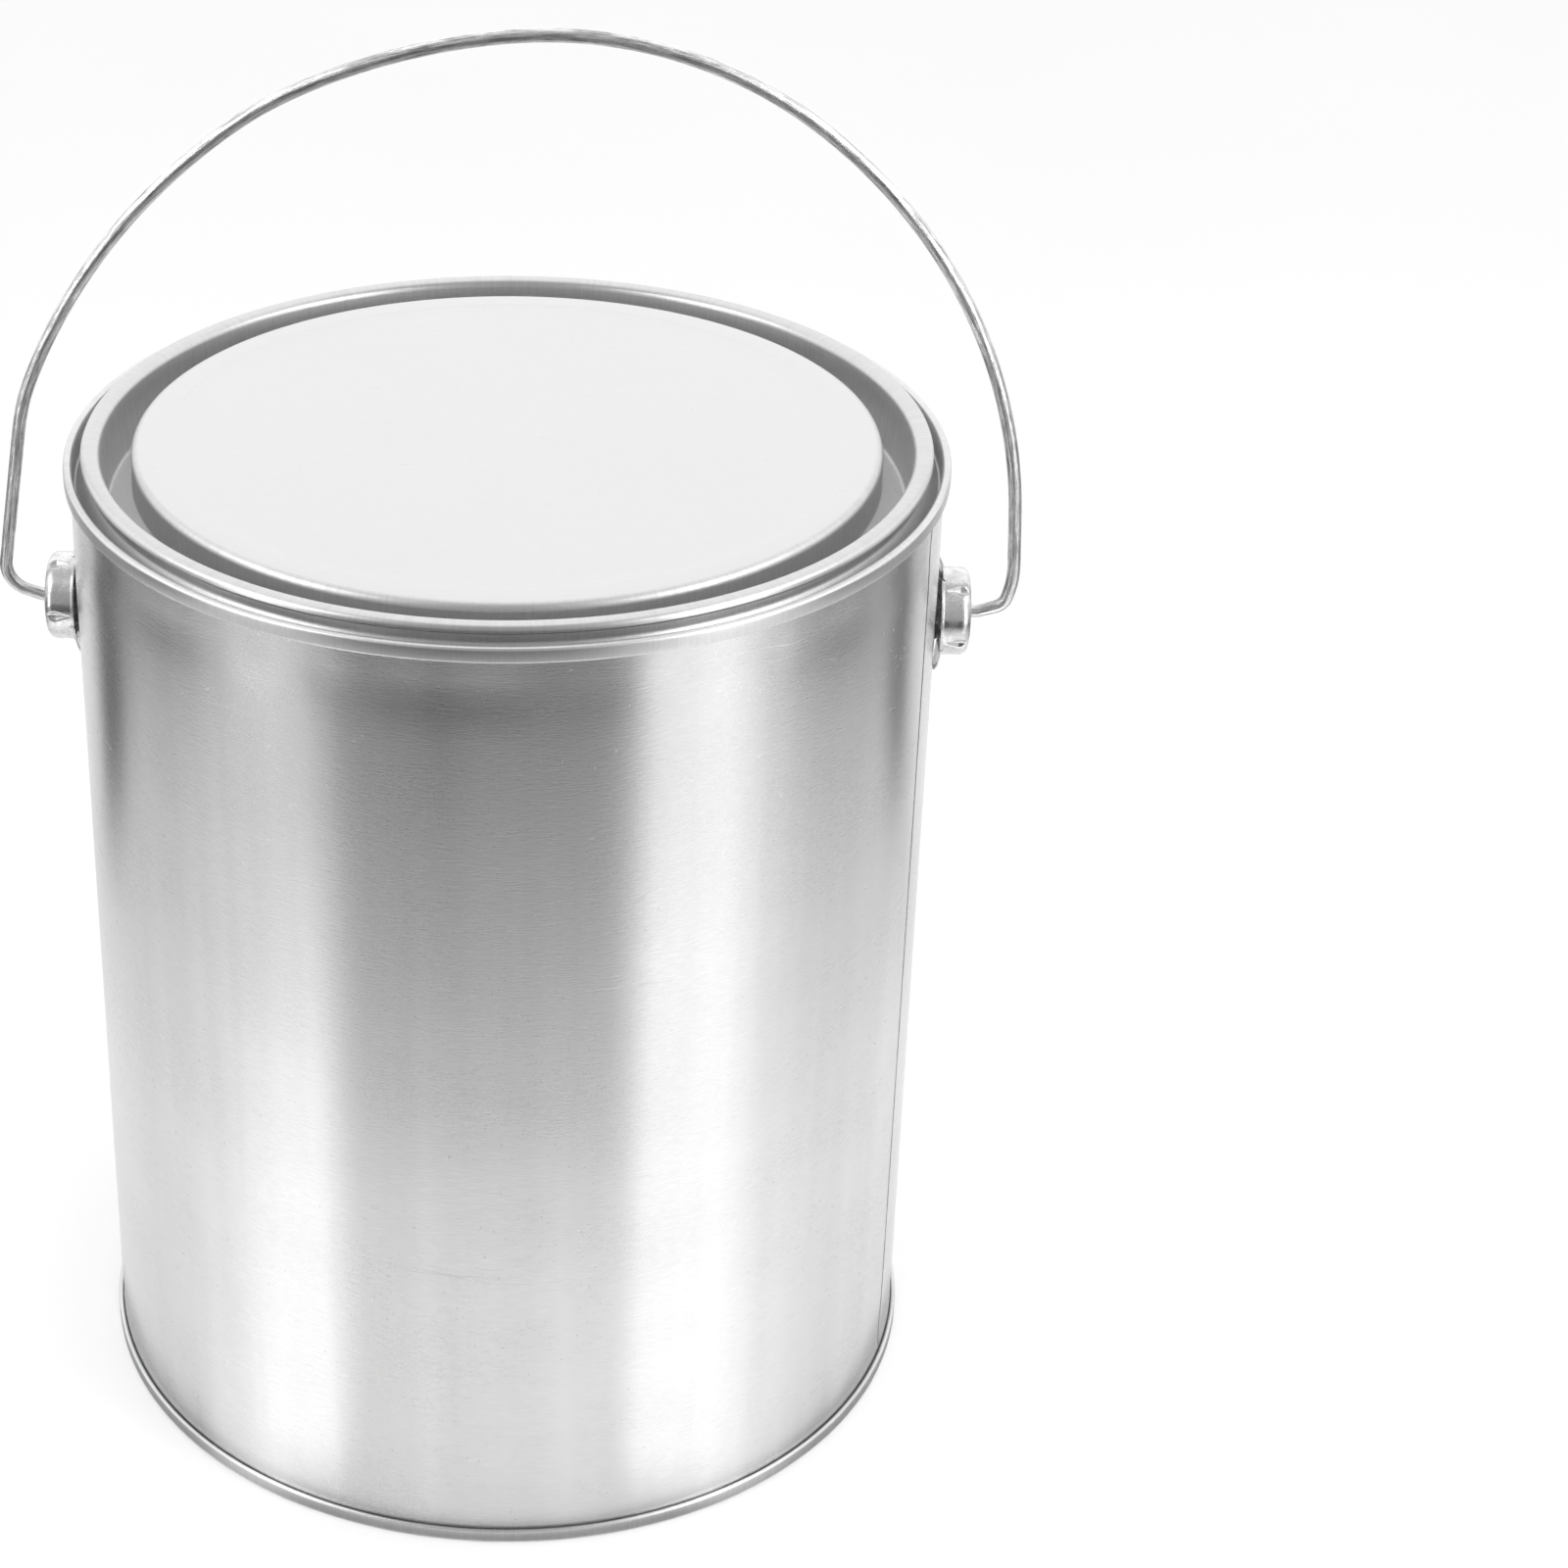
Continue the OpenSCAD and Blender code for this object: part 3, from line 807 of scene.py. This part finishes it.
# Distances from the wire's end at which its tip and head have a ring of points
END_RINGS = [0.0, 0.02, 0.1, 0.25, 0.45, 0.52, 0.6, 0.68,
             0.75, 1.1, 1.5, 1.6, 1.65, 1.7, 1.78, 2.2]
END_LONG = 2.3


def bail_path():
    """Poses of the wire's middle in its own plane, from inside the left ear to the right one."""
    start = [-PIN_BEND_X, 0.0, math.pi]
    over_top = [[3, -18.5], [2.8], [5.5, -80.4], [27.8], [45, -14.9], [0.8],
                [117, -30.2], [73, -11.3], [117, -19], [79, -42.9], [101, -49.7]]
    right_end = [[20, -20.5], [3, -56.6], [3.2], [3, -16]]
    leg_top = end_of(start, over_top)
    no_leg = end_of(leg_top, right_end)
    steps = [*over_top, [no_leg[1] / -math.sin(leg_top[2])], *right_end]
    last = end_of(start, steps)
    pin = PIN_BEND_X - PIN_END
    return walk([-PIN_END, 0.0, math.pi], [[pin], *steps, [last[0] - PIN_END]],
                longest=2.5, arc=5.0)


def end_radius(distance):
    """Radius at a distance from the wire's cut end: a rounded tip, then the pin's upset head."""
    tip = 0.8 + 0.2 * math.sqrt(min(1.0, distance / 0.25))
    head = smooth(0.45, 0.7, distance) - smooth(1.6, 1.75, distance)
    return tip * WIRE_R + HEAD_PROUD * head


def bail(material):
    """The wire with its upset pin heads, as one swept skin."""
    path = bail_path()
    first, last, total = path[0], path[-1], path[-1][3]
    rings = [([first[0] - d, first[1], first[2], d], end_radius(d)) for d in END_RINGS]
    rings += [(p, WIRE_R) for p in path if END_LONG < p[3] < total - END_LONG]
    rings += [([last[0] + d, last[1], last[2], total - d], end_radius(d))
              for d in reversed(END_RINGS)]
    points, grain, index = [], [], []
    for (x, z, heading, distance), r in rings:
        index.append([len(points) + k for k in range(WIRE_SIDES)])
        free = smooth(4, 30, min(distance, total - distance))
        sway = 0.12 * noise.noise(Vector((distance / 45, 1.7, 0.0))) * free
        for k in range(WIRE_SIDES):
            a = math.tau * k / WIRE_SIDES
            out, over = r * math.cos(a), r * math.sin(a)
            points.append((x - out * math.sin(heading), sway + over,
                           PIVOT_Z + z + out * math.cos(heading)))
            grain.append((math.cos(a), math.sin(a), distance))
    faces = [list(index[0]), list(reversed(index[-1]))]
    for low, high in zip(index, index[1:]):
        for k in range(WIRE_SIDES):
            n = (k + 1) % WIRE_SIDES
            faces.append([low[n], low[k], high[k], high[n]])
    made = add_mesh("bail_wire_swept", points, faces, grain, material, sharp=50)
    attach(made, "bail")
    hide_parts("bail_wire")


# ---------------------------------------------------------------- studio

def plane(name, material):
    """A level square on the floor, centred under the can."""
    mesh = bpy.data.meshes.new(name)
    half = FLOOR_HALF
    corners = [(-half, -half, 0), (half, -half, 0), (half, half, 0), (-half, half, 0)]
    mesh.from_pydata(corners, [], [(0, 1, 2, 3)])
    mesh.materials.append(material)
    return add_object(name, mesh)


def floor():
    """A plain pale floor."""
    m = Nodes("floor")
    cloud = m.noise(m.place(), 0.004, 3.0)
    m.set(Base_Color=m.mix(cloud, grey(0.93), grey(0.96)),
          Roughness=0.9,
          Specular_IOR_Level=0.0)
    ground = plane("floor", m.material)


def painted_reflection_film(near, far, contact, level, painted_reflection_strips):
    """Painted reflection: a glowing film that reflections alone see, standing in for what the can's
    side reflects beyond the lit floor.

    near, far and contact are pairs of distances from the Z axis. The film thickens over near and
    again over far, as painted dark reflection. Over contact it clears from the can's own shade,
    which is painted contact shade. level is its brightness.

    A strip is a painted reflection, glowing though it is no lamp: bright strips stand in for the
    softbox streaks and dim ones for dark lines.
    A strip starts at a place on the floor and runs at a turn from -Y towards +X. Its inner edge,
    towards the Y axis, is sharper than its outer one. Each edge has a distance and a widening.
    The strip appears over its from, and over its fade the third number turns into the fourth,
    which are brightnesses. Distances are in metres.
    """
    m = Nodes("painted_reflection_film")
    at = m.add("ShaderNodeNewGeometry").outputs["Position"]
    away = m.add("ShaderNodeVectorMath", {0: at}, operation="LENGTH").outputs["Value"]
    y = m.add("ShaderNodeSeparateXYZ", {"Vector": at}).outputs["Y"]
    ahead = m.math("DIVIDE", m.times(y, -1.0), away)
    seen = m.add("ShaderNodeBsdfTransparent").outputs[0]

    def lay(share, strength):
        mixed = m.add("ShaderNodeMixShader", {"Fac": share})
        m.link(seen, mixed.inputs[1])
        m.link(m.add("ShaderNodeEmission", {"Strength": strength}).outputs[0], mixed.inputs[2])
        return mixed.outputs[0]

    # painted dark reflection: the film ends behind the can, and is thickest straight ahead of it
    before = m.soft(y, 0.08, 0.24, 1.0, 0.0)
    dim = m.times(m.soft(away, *near), m.soft(ahead, 0.3, 0.7, 0.25, 0.55))
    seen = lay(m.times(before, dim), level)
    seen = lay(m.times(before, m.soft(away, *far)), level)
    # painted contact shade next to the can's foot, seen in the bottom seam's reflection
    seen = lay(m.soft(away, *contact, 0.6, 0.0), level)
    # painted bright and dark reflection strips, glowing though they are no lamps
    for strip in painted_reflection_strips:
        turn = math.radians(strip["turn"])
        side = math.copysign(1.0, strip["turn"])
        c, n = math.cos(turn), math.sin(turn)
        start = m.add("ShaderNodeVectorMath", {0: at, 1: (*strip["start"], 0)},
                      operation="SUBTRACT").outputs[0]
        along = m.add("ShaderNodeVectorMath", {0: start, 1: (n, -c, 0)},
                      operation="DOT_PRODUCT").outputs["Value"]
        across = m.add("ShaderNodeVectorMath", {0: start, 1: (c * side, n * side, 0)},
                       operation="DOT_PRODUCT").outputs["Value"]
        inner, outer = [m.math("ADD", m.times(along, widening), half)
                        for half, widening in (strip["inner"], strip["outer"])]
        inward = m.math("DIVIDE", m.times(across, -1.0), inner)
        outward = m.math("DIVIDE", across, outer)
        inside = m.times(m.soft(inward, 0.65, 1.3, 1.0, 0.0), m.soft(outward, 0.1, 1.0, 1.0, 0.0))
        inside = m.times(inside, m.soft(along, *strip["from"]))
        seen = lay(inside, m.soft(along, *strip["fade"]))
    m.link(seen, m.tree.nodes["Material Output"].inputs["Surface"])
    film = plane("painted_reflection_film", m.material)
    film.location.z = 0.0005
    film.visible_camera = False
    film.visible_diffuse = False
    film.visible_shadow = False
    film.visible_transmission = False


def studio_world(front_level, back_level):
    """White to the eye and to the floor; reflections find a bright back and a dim front."""
    world = bpy.data.worlds.new("studio")
    bpy.context.scene.world = world
    world.use_nodes = True
    nodes, links = world.node_tree.nodes, world.node_tree.links
    background = nodes["Background"]
    way = nodes.new("ShaderNodeTexCoord").outputs["Generated"]
    split = nodes.new("ShaderNodeSeparateXYZ")
    links.new(way, split.inputs[0])
    slope = nodes.new("ShaderNodeMapRange")
    slope.interpolation_type = "SMOOTHSTEP"
    slope.inputs["From Min"].default_value = -0.35
    slope.inputs["From Max"].default_value = 0.45
    slope.inputs["To Min"].default_value = front_level
    slope.inputs["To Max"].default_value = back_level
    links.new(split.outputs["Y"], slope.inputs["Value"])
    path = nodes.new("ShaderNodeLightPath")
    choose = nodes.new("ShaderNodeMix")
    choose.inputs["A"].default_value = 1.0
    links.new(path.outputs["Is Glossy Ray"], choose.inputs["Factor"])
    links.new(slope.outputs["Result"], choose.inputs["B"])
    links.new(choose.outputs["Result"], background.inputs["Strength"])
    background.inputs["Color"].default_value = (1, 1, 1, 1)


def area_light(name, place, target, wide, high, power, glossy=True, diffuse=True, shadow=True,
               spread=180):
    lamp = bpy.data.lights.new(name, "AREA")
    lamp.shape = "RECTANGLE"
    lamp.size = wide
    lamp.size_y = high
    lamp.energy = power
    lamp.use_shadow = shadow
    lamp.spread = math.radians(spread)
    made = add_object(name, lamp)
    made.location = place
    made.rotation_euler = (Vector(target) - Vector(place)).to_track_quat("-Z", "Y").to_euler()
    made.visible_camera = False
    made.visible_glossy = glossy
    made.visible_diffuse = diffuse


def camera():
    """A long lens 0.69 m from the can, from 29.6 degrees above and a little to its right."""
    turn, rise, distance = math.radians(2.25), math.radians(29.61), 0.6865
    target = Vector((0, 0, 0.1259))
    level = math.cos(rise)
    away = Vector((math.sin(turn) * level, -math.cos(turn) * level, math.sin(rise)))
    lens = bpy.data.cameras.new("camera")
    lens.lens = 80.17
    lens.sensor_width = 36
    lens.shift_x = 0.1766
    lens.shift_y = -0.0103
    made = add_object("camera", lens)
    made.location = target + distance * away
    made.rotation_euler = (-away).to_track_quat("-Z", "Y").to_euler()
    bpy.context.scene.camera = made


def studio():
    floor()
    # painted reflections for the can's side: a film only reflections see
    painted_reflection_film(near=(0.15, 0.29), far=(0.34, 0.48), contact=(0.0845, 0.0875), level=0.05, painted_reflection_strips=[
        {"start": (-0.0357, -0.0732), "turn": -58.5, "inner": (0.0075, 0.235),
         "outer": (0.024, 0.60), "from": (0.0, 0.02), "fade": (0.12, 0.27, 1.6, 0.76)},
        {"start": (0.0361, -0.0730), "turn": 54, "inner": (0.0119, 0.31),
         "outer": (0.026, 0.68), "from": (0.0, 0.02), "fade": (0.22, 0.33, 1.6, 1.1)},
        {"start": (-0.0724, -0.0373), "turn": -132, "inner": (0.008, 0.20),
         "outer": (0.006, 0.14), "from": (0.21, 0.27), "fade": (0.2, 0.3, 0.02, 0.02)},
        {"start": (0.0738, -0.0344), "turn": 132, "inner": (0.008, 0.16),
         "outer": (0.006, 0.12), "from": (0.23, 0.29), "fade": (0.2, 0.3, 0.02, 0.02)},
        {"start": (-0.0113, -0.0807), "turn": -17, "inner": (0.01, 0.08),
         "outer": (0.01, 0.08), "from": (0.25, 0.36), "fade": (0.2, 0.3, 0.02, 0.02)}])
    studio_world(front_level=0.38, back_level=1.38)
    area_light("pool", (0, -0.05, 0.9), (0, -0.05, 0), wide=0.5, high=0.5, power=0.2,
               glossy=False, shadow=False, spread=60)
    area_light("softbox_left", (-0.70, -0.42, 0.30), (0, 0, 0.1), wide=0.2, high=0.7, power=1.5)
    area_light("softbox_right", (0.66, -0.47, 0.30), (0, 0, 0.1), wide=0.32, high=0.7, power=2.4)
    for name, x in (("softbox_high_left", -0.60), ("softbox_high_right", 0.60)):
        area_light(name, (x, -0.22, 0.70), (0, 0, 0.19), wide=0.5, high=0.4, power=2.0,
                   diffuse=False)
    camera()
    bpy.context.scene.view_settings.view_transform = "Standard"


# ---------------------------------------------------------------- the can

body_tin = body_material()
end_tin = ring_material()
lid_tin = lid_material()
ear_steel = ear_material()
compound = compound_material()

can_wall(body_tin)
weld_bead(weld_material())
bottom(end_tin)
top_ring(end_tin)
lid(lid_tin)
ear("ear_left", "left_ear", -1, math.radians(-33.7), ear_steel)
ear("ear_right", "right_ear", 1, math.radians(-15.5), ear_steel)
bail(wire_material())
for lining in ("bottom_compound", "top_compound"):
    slots = frame["nodes"][lining].data.materials
    slots.clear()
    slots.append(compound)

studio()
